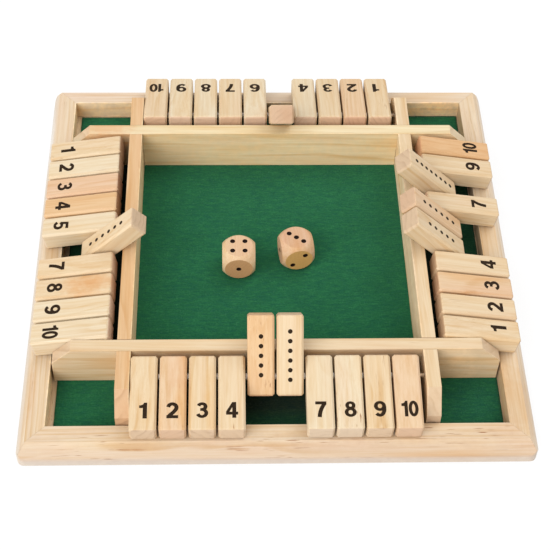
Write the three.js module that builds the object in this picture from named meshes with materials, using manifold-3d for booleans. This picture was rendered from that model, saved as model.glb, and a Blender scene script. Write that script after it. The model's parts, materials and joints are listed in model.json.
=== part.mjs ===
// A shut the box game for four players: a square tray with a bank of ten number tiles on each side.
// Units are millimetres, +Z is up, the origin is the middle of the underside and -Y is the front.
import * as THREE from 'three';
import { mergeVertices } from 'three/addons/utils/BufferGeometryUtils.js';
import Module from 'manifold-3d';

const wasm = await Module();
wasm.setup();

// Outer frame: four mitred rails with a bevelled outer edge and a rebate below for the panel
const boardSide = 225;
const railWidth = 12.3;
const railHeight = 12.4;
const bevelWidth = 4.3;
const bevelFoot = 5.3;
const footEase = 0.6;
const cornerRadius = 4;
const rebateWidth = 5;
const rebateClearance = 0.15;
const mitreGap = 0.06;

// Floor: a thin panel with a felt mat on it, laid by hand with a different margin on each side
const panelThickness = 2.7;
const feltThickness = 0.7;
const feltMarginLeft = 2.3;
const feltMarginRight = 0.5;
const feltMarginFront = 1.2;
const feltMarginBack = 1.6;

// Dividers: four boards, halved over each other, between the dice tray and the four banks
const bankDepth = 48.6;
const dividerThickness = 6.2;
const dividerTop = 25.6;
const dividerEndGap = 0.95;
const endChamferLength = 9;
const endChamferDrop = 9;
const lapClearance = 0.15;

// Number tiles: blocks that turn on a rod between an open and a shut stop
const tilesPerSide = 10;
const tileGap = 1;
const bankEndGap = 1.4;
const bankRestGap = 0.3;
const tileThickness = 9.5;
const pivotToNumberEnd = 27.3;
const pivotToBackEnd = 8.2;
const backEndRadius = 1.5;
const numberEndRadius = 1;
const sideEase = 0.9;
const pivotHeight = 21.7;
const pivotFromDivider = 11.2;
const tileStopGap = 0.3;

// Rods: steel pins held in blind holes in the dividers, with a spacer ring between each two tiles
const rodRadius = 0.9;
const holeClearance = 0.4;
const ringRadius = 1.4;
const ringClearance = 0.15;
const seatDepth = 3.5;
const seatClearance = 0.15;

// Dice: cubes turned down to a ball, with drilled pips; they lie where they were thrown, at shares
// of the tray's side from its middle
const dieSize = 15.6;
const dieBallRadius = 10.2;
const pipRadius = 1.15;
const pipDepth = 0.7;
const pipOffset = 2.92;
const diceOnTray = [
  { name: 'die_1', placeShares: [-0.128, -0.033], yawDegrees: 0, top: 4, front: 1, right: 5 },
  { name: 'die_2', placeShares: [0.086, 0.008], yawDegrees: 9.4, top: 3, front: 2, right: 6 },
];

// How far a cutting tool runs past the face that it cuts
const overrun = 1;

// Facets: steps round one rounded corner, and sides of a round piece
const cornerSteps = 2;
const plumbCornerSteps = 4;
const holeSides = 10;
const rodSides = 10;
const pipSides = 8;
const ballSides = 24;

// The four sides in order, each a quarter turn on from the one before, with the tiles that lie shut
// and the way that the loose bank has slid along its rod: all have slid to the left or to the front
const sides = [
  { name: 'front', shut: [5, 6], slidTo: -1, lapFromBelow: true },
  { name: 'right', shut: [5, 6, 8], slidTo: -1, lapFromBelow: false },
  { name: 'back', shut: [5], slidTo: 1, lapFromBelow: true },
  { name: 'left', shut: [6], slidTo: 1, lapFromBelow: false },
];

// Places worked out from the sizes above
const halfBoard = boardSide / 2;
const railInside = halfBoard - railWidth;
const feltTop = panelThickness + feltThickness;
const traySide = boardSide - 2 * bankDepth;
const dividerInside = traySide / 2;
const dividerOutside = dividerInside + dividerThickness;
const dividerEnd = railInside - dividerEndGap;
const lapHeight = (feltTop + dividerTop) / 2;
const pivotFromCentre = dividerOutside + pivotFromDivider;
const tileWidth = (traySide - 2 * bankEndGap - (tilesPerSide - 1) * tileGap) / tilesPerSide;
const tileSpacing = tileWidth + tileGap;
const bankSlide = bankEndGap - bankRestGap;
const halfTile = tileThickness / 2;

// The open tile leans outward until the rounded edge of its number end meets the top of the rail
const openLength = pivotToNumberEnd - numberEndRadius;
const openDepth = halfTile - numberEndRadius;
const openDrop = pivotHeight - railHeight - tileStopGap - numberEndRadius;
const openAngle = Math.asin(openDrop / Math.hypot(openLength, openDepth)) - Math.atan2(openDepth, openLength);

// The shut tile lies over until its number face meets the outer top edge of the divider
const dividerAbovePivot = dividerTop - pivotHeight;
const shutAngle = Math.atan2(dividerAbovePivot, pivotFromDivider)
  + Math.asin((halfTile + tileStopGap) / Math.hypot(pivotFromDivider, dividerAbovePivot));

const pine = new THREE.MeshStandardMaterial({ color: 0xe6c596, roughness: 0.6, metalness: 0 });
const palePine = new THREE.MeshStandardMaterial({ color: 0xead0a6, roughness: 0.6, metalness: 0 });
const plywood = new THREE.MeshStandardMaterial({ color: 0xd8b98a, roughness: 0.7, metalness: 0 });
const greenFelt = new THREE.MeshStandardMaterial({ color: 0x1d6b43, roughness: 0.95, metalness: 0 });
const steel = new THREE.MeshStandardMaterial({ color: 0xc9ccd0, roughness: 0.25, metalness: 1 });

function toSolid(geometry) {
  const bare = geometry.index ? geometry.toNonIndexed() : geometry.clone();
  bare.deleteAttribute('normal');
  bare.deleteAttribute('uv');
  const merged = mergeVertices(bare);
  const mesh = new wasm.Mesh({
    numProp: 3,
    vertProperties: new Float32Array(merged.attributes.position.array),
    triVerts: new Uint32Array(merged.index.array),
  });
  mesh.merge();
  return new wasm.Manifold(mesh);
}

function toGeometry(solid) {
  const mesh = solid.getMesh();
  const geometry = new THREE.BufferGeometry();
  geometry.setAttribute('position', new THREE.BufferAttribute(mesh.vertProperties, 3));
  geometry.setIndex(new THREE.BufferAttribute(mesh.triVerts, 1));
  geometry.computeVertexNormals();
  return geometry;
}

function cutAway(geometry, tools) {
  let solid = toSolid(geometry);
  for (const tool of tools) {
    solid = solid.subtract(toSolid(tool));
  }
  return toGeometry(solid);
}

function overlapOf(first, second) {
  return toGeometry(toSolid(first).intersect(toSolid(second)));
}

// A shape drawn in the plane across a bank (x inward, y up), as a solid of a given length along the bank
function alongBank(geometry, length) {
  geometry.translate(0, 0, -length / 2);
  const turn = new THREE.Matrix4().makeBasis(
    new THREE.Vector3(0, 1, 0),
    new THREE.Vector3(0, 0, 1),
    new THREE.Vector3(1, 0, 0),
  );
  return geometry.applyMatrix4(turn);
}

function roundBar(radius, length, sideCount) {
  const bar = new THREE.CylinderGeometry(radius, radius, length, sideCount);
  bar.rotateZ(Math.PI / 2);
  return bar;
}

function addMesh(group, name, geometry, material) {
  const mesh = new THREE.Mesh(geometry, material);
  mesh.name = name;
  group.add(mesh);
  return mesh;
}

// One rail: its section runs along the side, and its plan is cut to the mitres and the rounded corners
function makeRail() {
  const rebateTop = panelThickness + rebateClearance;
  const section = new THREE.Shape();
  section.moveTo(-halfBoard + footEase, 0);
  section.lineTo(-railInside - rebateWidth, 0);
  section.lineTo(-railInside - rebateWidth, rebateTop);
  section.lineTo(-railInside, rebateTop);
  section.lineTo(-railInside, railHeight);
  section.lineTo(-halfBoard + bevelWidth, railHeight);
  section.lineTo(-halfBoard, bevelFoot);
  section.lineTo(-halfBoard, footEase);
  const bar = alongBank(
    new THREE.ExtrudeGeometry(section, { depth: boardSide, bevelEnabled: false }),
    boardSide,
  );

  const mitreStep = mitreGap / Math.SQRT2;
  const planInside = railInside - overrun;
  const arcCentre = halfBoard - cornerRadius;
  const arcSweep = Math.PI / 4 - Math.asin(mitreStep / (cornerRadius * Math.SQRT2));
  const plan = new THREE.Shape();
  plan.absarc(-arcCentre, -arcCentre, cornerRadius, -Math.PI / 2 - arcSweep, -Math.PI / 2, false);
  plan.absarc(arcCentre, -arcCentre, cornerRadius, -Math.PI / 2, -Math.PI / 2 + arcSweep, false);
  plan.lineTo(planInside - mitreStep, -planInside);
  plan.lineTo(-planInside + mitreStep, -planInside);
  const planBlock = new THREE.ExtrudeGeometry(plan, {
    depth: railHeight + 2 * overrun,
    curveSegments: plumbCornerSteps,
    bevelEnabled: false,
  });
  planBlock.translate(0, 0, -overrun);
  return overlapOf(bar, planBlock);
}

// One divider: chamfered ends, two halving notches, and a blind hole in its inner face near each end
function makeDivider(lapFromBelow) {
  const notchInside = dividerInside - lapClearance;
  const notchOutside = dividerOutside + lapClearance;
  const notchEdge = lapFromBelow ? feltTop : dividerTop;
  const notchFloor = lapHeight + (lapFromBelow ? lapClearance : -lapClearance);
  const notch = (direction) => [
    [-direction * notchOutside, notchEdge],
    [-direction * notchOutside, notchFloor],
    [-direction * notchInside, notchFloor],
    [-direction * notchInside, notchEdge],
    [direction * notchInside, notchEdge],
    [direction * notchInside, notchFloor],
    [direction * notchOutside, notchFloor],
    [direction * notchOutside, notchEdge],
  ];
  const outline = [
    [-dividerEnd, feltTop],
    ...(lapFromBelow ? notch(1) : []),
    [dividerEnd, feltTop],
    [dividerEnd, dividerTop - endChamferDrop],
    [dividerEnd - endChamferLength, dividerTop],
    ...(lapFromBelow ? [] : notch(-1)),
    [-dividerEnd + endChamferLength, dividerTop],
    [-dividerEnd, dividerTop - endChamferDrop],
  ];
  const shape = new THREE.Shape(outline.map(([along, up]) => new THREE.Vector2(along, up)));
  const board = new THREE.ExtrudeGeometry(shape, { depth: dividerThickness, bevelEnabled: false });
  board.rotateX(Math.PI / 2);
  board.translate(0, -dividerInside, 0);

  const seats = [-pivotFromCentre, pivotFromCentre].map((along) => {
    const seat = new THREE.CylinderGeometry(
      rodRadius + seatClearance,
      rodRadius + seatClearance,
      seatDepth + overrun,
      holeSides,
    );
    seat.translate(along, -dividerInside - (seatDepth - overrun) / 2, pivotHeight);
    return seat;
  });
  return cutAway(board, seats);
}

// One number tile, lying flat on its pivot with the number end outward (-Y) and the number face up
function makeTile() {
  const quarter = Math.PI / 2;
  const outline = new THREE.Shape();
  const corner = (alongEnd, up, radius, start) => {
    const along = alongEnd - Math.sign(alongEnd) * radius;
    outline.absarc(along, up - Math.sign(up) * radius, radius, start, start + quarter, false);
  };
  corner(pivotToBackEnd, -halfTile, backEndRadius, -quarter);
  corner(pivotToBackEnd, halfTile, backEndRadius, 0);
  corner(-pivotToNumberEnd, halfTile, numberEndRadius, quarter);
  corner(-pivotToNumberEnd, -halfTile, numberEndRadius, 2 * quarter);
  const depth = tileWidth - 2 * sideEase;
  const block = alongBank(
    new THREE.ExtrudeGeometry(outline, {
      depth,
      curveSegments: cornerSteps,
      bevelThickness: sideEase,
      bevelSize: sideEase,
      bevelOffset: -sideEase,
      bevelSegments: 1,
    }),
    depth,
  );
  return cutAway(block, [roundBar(rodRadius + holeClearance, tileWidth + 2 * overrun, holeSides)]);
}

// One rod with its spacer rings, turned as one profile: a ring fills the gap between each two tiles
function makeRod(slide) {
  const halfRod = dividerInside + seatDepth - seatClearance;
  const halfRing = tileGap / 2 - ringClearance;
  const profile = [new THREE.Vector2(0, -halfRod), new THREE.Vector2(rodRadius, -halfRod)];
  for (let gap = 1; gap < tilesPerSide; gap += 1) {
    const middle = slide + (gap - tilesPerSide / 2) * tileSpacing;
    profile.push(
      new THREE.Vector2(rodRadius, middle - halfRing),
      new THREE.Vector2(ringRadius, middle - halfRing),
      new THREE.Vector2(ringRadius, middle + halfRing),
      new THREE.Vector2(rodRadius, middle + halfRing),
    );
  }
  profile.push(new THREE.Vector2(rodRadius, halfRod), new THREE.Vector2(0, halfRod));
  const rod = new THREE.LatheGeometry(profile, rodSides);
  rod.rotateZ(-Math.PI / 2);
  return rod;
}

// Where the pips of each number sit on a face, in steps of the pip offset to the right and up
const pipSteps = {
  1: [[0, 0]],
  2: [[1, 1], [-1, -1]],
  3: [[-1, 1], [0, 0], [1, -1]],
  4: [[-1, 1], [1, 1], [-1, -1], [1, -1]],
  5: [[-1, 1], [1, 1], [0, 0], [-1, -1], [1, -1]],
  6: [[-1, 1], [1, 1], [-1, 0], [1, 0], [-1, -1], [1, -1]],
};

// One die: opposite faces add up to seven, and one, two and three run anticlockwise round their corner
function makeDie({ top, front, right }) {
  const faceCount = Object.keys(pipSteps).length;
  const opposite = (number) => faceCount + 1 - number;
  const cube = new THREE.BoxGeometry(dieSize, dieSize, dieSize);
  const ball = new THREE.SphereGeometry(dieBallRadius, ballSides, ballSides / 2);
  const body = overlapOf(cube, ball);

  const faces = [
    { number: top, normal: [0, 0, 1], across: [1, 0, 0] },
    { number: opposite(top), normal: [0, 0, -1], across: [1, 0, 0] },
    { number: front, normal: [0, -1, 0], across: [1, 0, 0] },
    { number: opposite(front), normal: [0, 1, 0], across: [-1, 0, 0] },
    { number: right, normal: [1, 0, 0], across: [0, 1, 0] },
    { number: opposite(right), normal: [-1, 0, 0], across: [0, -1, 0] },
  ];
  const drills = [];
  for (const face of faces) {
    const normal = new THREE.Vector3(...face.normal);
    const across = new THREE.Vector3(...face.across);
    const up = new THREE.Vector3().crossVectors(normal, across);
    for (const [stepAcross, stepUp] of pipSteps[face.number]) {
      const drill = new THREE.CylinderGeometry(pipRadius, pipRadius, 2 * pipDepth, pipSides);
      drill.applyMatrix4(new THREE.Matrix4().makeBasis(across, normal, up.clone().negate()));
      const place = normal.clone().multiplyScalar(dieSize / 2)
        .addScaledVector(across, stepAcross * pipOffset)
        .addScaledVector(up, stepUp * pipOffset);
      drill.translate(place.x, place.y, place.z);
      drills.push(drill);
    }
  }
  return cutAway(body, drills);
}

const game = new THREE.Group();

const panelSide = 2 * (railInside + rebateWidth - rebateClearance);
const panel = addMesh(game, 'base_panel', new THREE.BoxGeometry(panelSide, panelSide, panelThickness), plywood);
panel.position.z = panelThickness / 2;

const feltWidth = 2 * railInside - feltMarginLeft - feltMarginRight;
const feltDepth = 2 * railInside - feltMarginFront - feltMarginBack;
const felt = addMesh(game, 'felt_mat', new THREE.BoxGeometry(feltWidth, feltDepth, feltThickness), greenFelt);
felt.position.set(
  (feltMarginLeft - feltMarginRight) / 2,
  (feltMarginFront - feltMarginBack) / 2,
  panelThickness + feltThickness / 2,
);

sides.forEach((side, turns) => {
  const bank = new THREE.Group();
  bank.rotation.z = turns * Math.PI / 2;
  game.add(bank);
  addMesh(bank, `${side.name}_rail`, makeRail(), palePine);
  addMesh(bank, `${side.name}_divider`, makeDivider(side.lapFromBelow), palePine);
  const slide = side.slidTo * bankSlide;
  const rod = addMesh(bank, `${side.name}_rod`, makeRod(slide), steel);
  rod.position.set(0, -pivotFromCentre, pivotHeight);
  for (let number = 1; number <= tilesPerSide; number += 1) {
    const tile = addMesh(bank, `${side.name}_tile_${number}`, makeTile(), pine);
    const along = slide + (number - (tilesPerSide + 1) / 2) * tileSpacing;
    tile.position.set(along, -pivotFromCentre, pivotHeight);
    tile.rotation.x = side.shut.includes(number) ? shutAngle - Math.PI : openAngle;
  }
});

for (const place of diceOnTray) {
  const die = addMesh(game, place.name, makeDie(place), palePine);
  const [acrossShare, backShare] = place.placeShares;
  die.position.set(acrossShare * traySide, backShare * traySide, feltTop + dieSize / 2);
  die.rotation.z = THREE.MathUtils.degToRad(place.yawDegrees);
}

export default game;
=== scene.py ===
"""Looks of a shut the box game for four players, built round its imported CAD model.

Units are metres, +Z is up.
"""
import json
import math
import random

import bmesh
import bpy
from mathutils import Matrix, Vector, noise
from mathutils.geometry import delaunay_2d_cdt


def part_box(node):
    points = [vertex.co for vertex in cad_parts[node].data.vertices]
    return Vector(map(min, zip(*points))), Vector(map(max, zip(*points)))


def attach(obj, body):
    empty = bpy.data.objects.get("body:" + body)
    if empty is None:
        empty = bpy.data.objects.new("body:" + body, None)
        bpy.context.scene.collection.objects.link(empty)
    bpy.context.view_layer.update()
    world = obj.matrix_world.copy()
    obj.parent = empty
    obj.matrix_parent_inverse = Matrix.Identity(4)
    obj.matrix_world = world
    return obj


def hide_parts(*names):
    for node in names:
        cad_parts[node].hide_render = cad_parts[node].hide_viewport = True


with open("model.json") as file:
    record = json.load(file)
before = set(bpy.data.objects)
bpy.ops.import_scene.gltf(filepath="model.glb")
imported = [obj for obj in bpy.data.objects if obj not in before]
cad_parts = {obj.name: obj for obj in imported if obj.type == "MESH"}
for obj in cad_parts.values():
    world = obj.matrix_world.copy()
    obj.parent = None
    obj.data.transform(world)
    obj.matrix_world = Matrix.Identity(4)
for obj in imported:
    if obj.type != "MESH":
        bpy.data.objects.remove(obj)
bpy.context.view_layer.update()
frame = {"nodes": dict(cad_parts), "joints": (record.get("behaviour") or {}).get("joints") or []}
nodes = frame["nodes"]

MM = 0.001
RIGHTWARD = Vector((1, 0, 0))
BACKWARD = Vector((0, 1, 0))
UP = Vector((0, 0, 1))
SIDES = ("front", "right", "back", "left")
TILES_PER_SIDE = 10

# Printed numbers: their height, where they sit from the number end, and how proud the ink stands
DIGIT_HEIGHT = 7.3 * MM
DIGIT_FROM_END = {"front": 9.2 * MM, "right": 9.9 * MM, "back": 9.3 * MM, "left": 9.1 * MM}
INK_PROUD = 0.03 * MM
INK_SUNK = 0.05 * MM

# Dots on a tile's back: their widest spacing, and the longest row
DOT_RADIUS = 1.0 * MM
DOT_SPACING = 4.2 * MM
DOT_ROW_MOST = 25 * MM
DOT_STEPS = 24

# Rods and the soft plastic sleeves that keep the tiles apart
ROD_RADIUS = 0.9 * MM
ROD_END_EASE = 0.25 * MM
SLEEVE_RADIUS = 1.4 * MM
SLEEVE_WALL = 0.45 * MM
SLEEVE_EASE = 0.12 * MM
SLEEVE_LENGTH = 0.8 * MM
ROD_STEPS = 32
SLEEVE_STEPS = 24

# Dice: pips drilled as shallow dimples, and the steps round and up the balls that shape dice and pips
PIP_RADIUS = 1.22 * MM
PIP_DEPTH = 0.6 * MM
PIP_SPACING = 2.92 * MM
BALL_STEPS = (96, 64)
PIP_BALL_STEPS = (24, 12)
DICE_FACES = {"die_1": {"top": 4, "front": 1, "right": 5}, "die_2": {"top": 3, "front": 2, "right": 6}}
DIE_SIDES = 6
OPPOSITE_SUM = 7

# Edges of the planed wood, broken with sandpaper
DIVIDER_EDGE = 0.4 * MM
TILE_EDGE = 0.28 * MM
PANEL_EDGE = 0.15 * MM
DIE_EDGE = 0.1 * MM

# An edge is broken where its faces meet at more than this angle
WOOD_SHARP = math.radians(20)
DIE_SHARP = math.radians(25)
# Facets that differ by less than this are one face, and points closer than this are one point
FACET_SAME = math.radians(0.5)
WELD_REACH = 0.001 * MM
# How much a wide face counts in the shading of planed wood, where 50 is usual
WIDE_FACE_WEIGHT = 80
# Two directions are square to each other when their dot product is smaller than this
SQUARE = 0.1

# Felt: one cell of its mesh, how uneven its surface is, and the grains of that unevenness in each metre
FELT_CELL = 1.5 * MM
FELT_UNEVEN = 0.07 * MM
FELT_RIM_GRAINS = 700
FELT_FINE_GRAINS = 260
FELT_COARSE_GRAINS = 90
FELT_FINE_SHARE = 0.6

# The felt's back edge lies farther back than the solid's, at its left end and at its right end
FELT_BACK_LEFT = 0.4 * MM
FELT_BACK_RIGHT = 1.3 * MM

# The felt under the banks of tiles is darker, as painted shade: between these distances from the middle, and
# this far sideways, all in millimetres
SHADED_FELT_FROM = 70.0
SHADED_FELT_TO = 98.0
SHADED_FELT_ASIDE = 64.0

# Random draws: where in the trunk each piece was cut
TIMBER_SEED = 7
BEECH_SEED = 3

# The camera stands where the photograph was taken from; its focal length is in pixels of a 550 pixel frame
CAMERA_PLACE = Vector((-20.6, -426.9, 507.7)) * MM
CAMERA_PITCH = math.radians(-50.33)
CAMERA_YAW = math.radians(2.95)
CAMERA_ROLL = math.radians(-2.02)
FOCAL_PIXELS = 1371.4
FRAME_PIXELS = 550
SENSOR_WIDTH = 36

# Studio: the floor, the world's light, and square soft boxes given by their place, side and power
FLOOR_SIZE = 6.0
FLOOR_TONE = (0.84, 0.84, 0.84, 1.0)
FLOOR_GLOW = 1.03
FLOOR_GLOW_SHARE = 0.8
WORLD_LIGHT = 0.74
WHITE = (1.0, 1.0, 1.0, 1.0)
LAMPS = {"back": ((1.0, 0.8, 1.6), 1.2, 13.0), "front": ((-1.85, -2.3, 2.0), 3.0, 113.0)}


def srgb(code):
    """A colour written as six hexadecimal digits, in the linear values that shaders use."""
    values = [int(code[i:i + 2], 16) / 255 for i in (0, 2, 4)]
    return tuple(v / 12.92 if v <= 0.04045 else ((v + 0.055) / 1.055) ** 2.4 for v in values)


def dimmed(colour, share):
    return tuple(value * share for value in colour)


# Node trees

def add_node(tree, kind, inputs=None, **settings):
    """Adds a node; inputs maps a socket's name or index to a value or to another node's output."""
    made = tree.nodes.new(kind)
    for name, value in settings.items():
        setattr(made, name, value)
    for key, value in (inputs or {}).items():
        if isinstance(value, bpy.types.NodeSocket):
            tree.links.new(value, made.inputs[key])
        else:
            made.inputs[key].default_value = value
    return made


def math_node(tree, operation, first, second=0.0, clamp=False):
    made = add_node(tree, "ShaderNodeMath", {0: first, 1: second}, operation=operation)
    made.use_clamp = clamp
    return made.outputs[0]


def times(tree, first, second):
    return math_node(tree, "MULTIPLY", first, second)


def vector_node(tree, operation, first, second, output="Vector"):
    made = add_node(tree, "ShaderNodeVectorMath", {0: first, 1: second}, operation=operation)
    return made.outputs[output]


def noise_node(tree, place, stretch, detail=2.0, roughness=0.5):
    """Noise with as many grains in each millimetre, along each direction, as the stretch says."""
    stretched = vector_node(tree, "MULTIPLY", place, stretch)
    inputs = {"Vector": stretched, "Scale": 1.0, "Detail": detail, "Roughness": roughness}
    return add_node(tree, "ShaderNodeTexNoise", inputs).outputs["Fac"]


def ramp_node(tree, value, stops):
    """A value curve through (position, height) stops."""
    made = add_node(tree, "ShaderNodeValToRGB", {"Fac": value})
    ramp = made.color_ramp
    while len(ramp.elements) < len(stops):
        ramp.elements.new(1.0)
    for element, (position, height) in zip(ramp.elements, stops):
        element.position = position
        element.color = (height, height, height, 1.0)
    return made.outputs["Color"]


def mix_colours(tree, share, first, second, blend="MIX"):
    made = add_node(tree, "ShaderNodeMix", data_type="RGBA", blend_type=blend)
    for key, value in ((0, share), (6, first), (7, second)):
        if isinstance(value, bpy.types.NodeSocket):
            tree.links.new(value, made.inputs[key])
        else:
            made.inputs[key].default_value = value if key == 0 else (*value[:3], 1.0)
    return made.outputs[2]


def tinted(tree, colour, tint, share=1.0):
    """A colour multiplied by a tint, wholly or by a share."""
    return mix_colours(tree, share, colour, tint, "MULTIPLY")


def set_inputs(node, values):
    for key, value in values.items():
        node.inputs[key].default_value = value


def new_material(name):
    """A bare material and its principled shader, linked to the output."""
    material = bpy.data.materials.new(name)
    material.use_nodes = True
    tree = material.node_tree
    tree.nodes.clear()
    shader = add_node(tree, "ShaderNodeBsdfPrincipled")
    add_node(tree, "ShaderNodeOutputMaterial", {"Surface": shader.outputs["BSDF"]})
    return material, tree, shader


def add_bump(tree, shader, height, distance):
    bump = add_node(tree, "ShaderNodeBump", {"Height": height, "Distance": distance})
    tree.links.new(bump.outputs["Normal"], shader.inputs["Normal"])


def place_in_mm(tree):
    """The shaded point's place on its object, in millimetres, and its normal there."""
    coordinates = add_node(tree, "ShaderNodeTexCoord")
    scaled = vector_node(tree, "MULTIPLY", coordinates.outputs["Object"], (1 / MM, 1 / MM, 1 / MM))
    return scaled, coordinates.outputs["Normal"]


def place_on_board(tree, place):
    """The larger and the smaller of a place's distances from the board's two middle lines, and its height."""
    parts = add_node(tree, "ShaderNodeSeparateXYZ", {0: place}).outputs
    x, y = (math_node(tree, "ABSOLUTE", parts[axis]) for axis in "XY")
    return math_node(tree, "MAXIMUM", x, y), math_node(tree, "MINIMUM", x, y), parts["Z"]


# Materials

# Tones are noted as they look in full light; a surface reflects this share of its tone
REFLECTED = 0.72

# Planed pine
TONES = {
    "cream": srgb("f3dfbd"),
    "straw": srgb("f1d7b0"),
    "blush": srgb("f0cfa8"),
    "rose": srgb("efcaa6"),
    "honey": srgb("efc899"),
    "amber": srgb("eec08c"),
    "bleached": srgb("f2dbbb"),
    "chalk": srgb("f3dec4"),
    "lemon": srgb("f9e6bc"),
}

# Tints of sawn wood: between its rings and on them, in its clouds and dashes, and across its end grain
PALE_TINT = (1.03, 1.05, 1.08)
DEEP_TINT = (0.88, 0.76, 0.60)
ORANGE_TINT = (0.97, 0.82, 0.62)
ROSY_TINT = (0.98, 0.90, 0.88)
DASH_TINT = srgb("ad7d52")
END_DEEP_TINT = (0.76, 0.70, 0.68)
END_PALE_TINT = (1.05, 1.05, 1.05)

# Tints of pine's sawn ends, and of a tile's end beside the divider.
# The first tiles of two banks are browner there, partly in their own end grain and partly as painted shade.
END_PINE = (0.87, 0.82, 0.84)
INNER_END_PINE = (0.87, 0.73, 0.72)
BROWN_SHADED_END_TILES = 4
BROWN_SHADED_END_PINE = {"left": (0.44, 0.32, 0.26), "right": (0.67, 0.55, 0.49)}

# A rail's pale foot, painted light low on its outside. The rails' outer faces lie farther out than this, in
# millimetres.
FOOT_TONE = srgb("e9dac8")
OUTSIDE = 106.0
# The height of a foot on a piece that has none: heights are divided by it, so it isn't zero
NO_FOOT = 0.01

# How dark a ring is over its width, from one ring's start to the next
RING_PROFILE = ((0.0, 0.0), (0.5, 0.15), (0.86, 1.0), (0.93, 0.8), (1.0, 0.0))
# How much rings, streaks and fibres deepen the tone
RING_DEPTH = 0.75
STREAK_DEPTH = 1.7
FIBRE_DEPTH = 0.7
# How fast end grain takes over where a face turns toward the piece's end
END_FADE = 0.12
SMOOTHEST_WOOD = 0.42

# Turned beech: its tone and end grain on each die, and the tints of its pores and of its turned corners
DICE_LOOKS = {
    "die_1": (srgb("eecca5"), (0.86, 0.68, 0.52)),
    "die_2": (srgb("e6bc98"), (1.08, 0.98, 0.54)),
}
BEECH_PORE_TINT = (0.93, 0.85, 0.78)
BEECH_TURNED_TINT = (1.10, 1.16, 1.14)

# Felt: the tones that mottle it; it reflects a little more of its green
FELT_TONES = {
    "deep": srgb("236740"), "bright": srgb("2f8052"), "bluish": srgb("175d4a"), "fresh": srgb("378a58"),
    "shade": srgb("145637"), "hair": srgb("559f79"),
}
FELT_REFLECTED = (REFLECTED, REFLECTED * 1.05, REFLECTED)
# the tint of the painted shade on the felt under the banks
SHADED_FELT_TINT = (1.35, 0.30, 0.44)

STEEL_TONES = ((0.62, 0.63, 0.65), (0.78, 0.79, 0.81))
SLEEVE_TONES = (srgb("eeebe2"), srgb("faf8f2"))
# Inks, full and thinned
INK_TONES = {
    "number_ink": (srgb("21150b"), srgb("43311d")),
    "pip_paint": (srgb("140905"), srgb("2a160c")),
}

# How deep the relief of each material's bump is
WOOD_RELIEF = 0.03 * MM
FELT_RELIEF = 0.12 * MM
STEEL_RELIEF = 0.004 * MM
SMOOTH_RELIEF = 0.01 * MM

# How a piece was cut: the pith's distance across and below its face in millimetres, and the grain's lean
CUTS = {"flat": (5, 15, 0.12), "rift": (28, 28, 0.04), "quarter": (60, 12, 0.02), "board": (40, 22, 0.01)}
# A piece may come from this far along its trunk either way, and its pith's distances vary by these shares
TRUNK_REACH = 400
PITH_SHARES = (0.7, 1.4)


def place_in_trunk(tree, place, given):
    """A place along the grain, across it and square to both, in the trunk that the piece was cut from."""
    third = vector_node(tree, "CROSS_PRODUCT", given["Along"], given["Across"])
    directions = (given["Along"], given["Across"], third)
    parts = {i: vector_node(tree, "DOT_PRODUCT", place, way, "Value") for i, way in enumerate(directions)}
    local = add_node(tree, "ShaderNodeCombineXYZ", parts).outputs[0]
    return vector_node(tree, "ADD", local, given["Shift"])


def growth_rings(tree, local, given):
    """Rings round the pith, as dark lines that fade in slowly and end sharply."""
    wander = noise_node(tree, local, (0.014, 0.06, 0.06), 2.0)
    section = vector_node(tree, "LENGTH", vector_node(tree, "MULTIPLY", local, (0, 1, 1)), (0, 0, 0), "Value")
    radius = math_node(tree, "ADD", section, times(tree, wander, given["Wander"]))
    phase = math_node(tree, "FRACT", math_node(tree, "DIVIDE", radius, given["Ring spacing"]))
    ring = ramp_node(tree, phase, RING_PROFILE)
    strength = ramp_node(tree, noise_node(tree, local, (0.012, 0.2, 0.2), 1.0), ((0.35, 0.1), (0.65, 1.0)))
    return times(tree, times(tree, ring, strength), given["Figure"])


def long_grain(tree, local, band, fibre, given):
    """The colour of faces along the grain: rings, streaks, fibres, clouds and dashes."""
    streak = noise_node(tree, local, (0.02, 0.7, 0.7), 3.0, 0.6)
    ringed = times(tree, band, RING_DEPTH)
    streaked = times(tree, math_node(tree, "SUBTRACT", streak, 0.38), STREAK_DEPTH)
    fibrous = times(tree, math_node(tree, "SUBTRACT", fibre, 0.5), FIBRE_DEPTH)
    depth = math_node(tree, "ADD", math_node(tree, "ADD", ringed, streaked), fibrous, clamp=True)
    pale = tinted(tree, given["Tone"], PALE_TINT)
    deep = tinted(tree, given["Tone"], DEEP_TINT)
    colour = mix_colours(tree, depth, pale, deep)

    # slow clouds: orange where their noise is high, rosy where it is low
    cloud = noise_node(tree, local, (0.022, 0.1, 0.1), 1.0)
    orange = times(tree, ramp_node(tree, cloud, ((0.5, 0.0), (0.68, 1.0))), given["Clouds"])
    rosy = times(tree, ramp_node(tree, cloud, ((0.32, 1.0), (0.5, 0.0))), given["Clouds"])
    colour = tinted(tree, colour, ORANGE_TINT, orange)
    colour = tinted(tree, colour, ROSY_TINT, rosy)

    # short brown dashes along the grain, in some places only
    dash = ramp_node(tree, noise_node(tree, local, (0.1, 2.2, 2.2), 1.0), ((0.66, 0.0), (0.73, 1.0)))
    rare = ramp_node(tree, noise_node(tree, local, (0.03, 0.12, 0.12), 0.0), ((0.48, 0.0), (0.62, 1.0)))
    return tinted(tree, colour, DASH_TINT, times(tree, times(tree, dash, rare), given["Dashes"]))


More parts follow.
